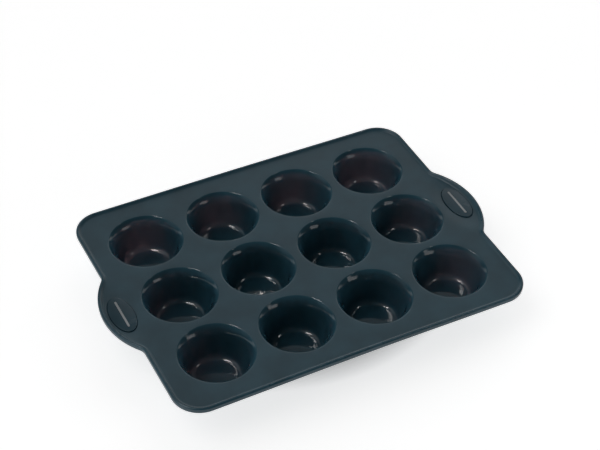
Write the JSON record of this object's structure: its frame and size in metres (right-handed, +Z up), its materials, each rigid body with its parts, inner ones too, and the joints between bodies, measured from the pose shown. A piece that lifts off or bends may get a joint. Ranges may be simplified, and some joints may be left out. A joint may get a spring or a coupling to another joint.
{
  "type": "muffin mould",
  "caption": "Flexible silicone muffin mould with a grid of round cups, a raised rim stiffened by a steel wire ring, and a round lug with an oval badge at each end.",
  "frame": {"origin": "on the surface that the mould stands on, under the centre of its bounding box", "axes": "+X along the length, from the left lug to the right lug; +Y to the back; +Z up, out of the cups"},
  "size_m": [0.39, 0.275, 0.037],
  "materials": {
    "tray_silicone": "satin dark slate silicone, glossier inside the cups",
    "wire_steel": "bright drawn stainless steel wire",
    "badge_silicone": "polished dark slate silicone",
    "bar_silicone": "matt pale grey silicone"
  },
  "bodies": {
    "root": {"silicone_tray": "tray_silicone", "rim_wire": "wire_steel", "left_badge": "badge_silicone", "left_badge_bar": "bar_silicone", "right_badge": "badge_silicone", "right_badge_bar": "bar_silicone"}
  },
  "joints": []
}
